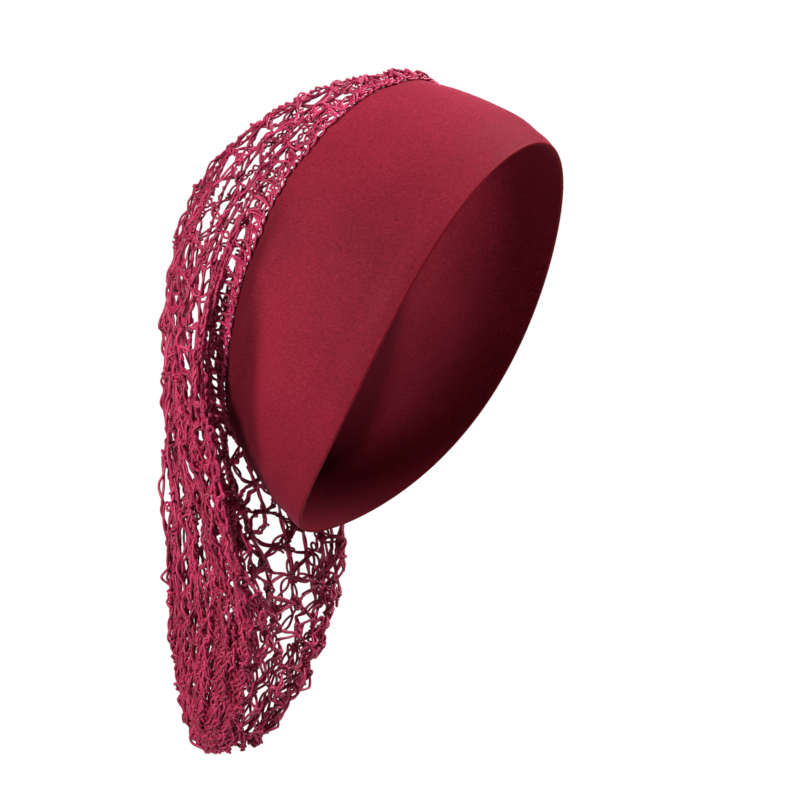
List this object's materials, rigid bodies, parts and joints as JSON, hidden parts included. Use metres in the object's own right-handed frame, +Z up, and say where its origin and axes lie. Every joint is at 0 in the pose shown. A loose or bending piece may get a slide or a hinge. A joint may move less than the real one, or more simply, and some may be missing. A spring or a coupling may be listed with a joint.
{
  "type": "crochet hair snood",
  "caption": "Stretch satin headband with a long open crochet net bag gathered onto its rear edge, in its worn form.",
  "frame": {"origin": "where the rear edge of the band crosses the top of the crown, in the middle plane", "axes": "+Z up, the wearer faces -Y, +X to the wearer's left"},
  "size_m": [0.1536, 0.1954, 0.319],
  "materials": {
    "satin_band": "burgundy stretch satin, soft sheen, very fine grain, folded front edge",
    "rayon_crochet": "burgundy-pink twisted rayon yarn, shiny, crocheted in chains with knots"
  },
  "bodies": {
    "root": {"headband": "satin_band", "gathered_edge": "rayon_crochet", "net_bag": "rayon_crochet"}
  },
  "joints": []
}
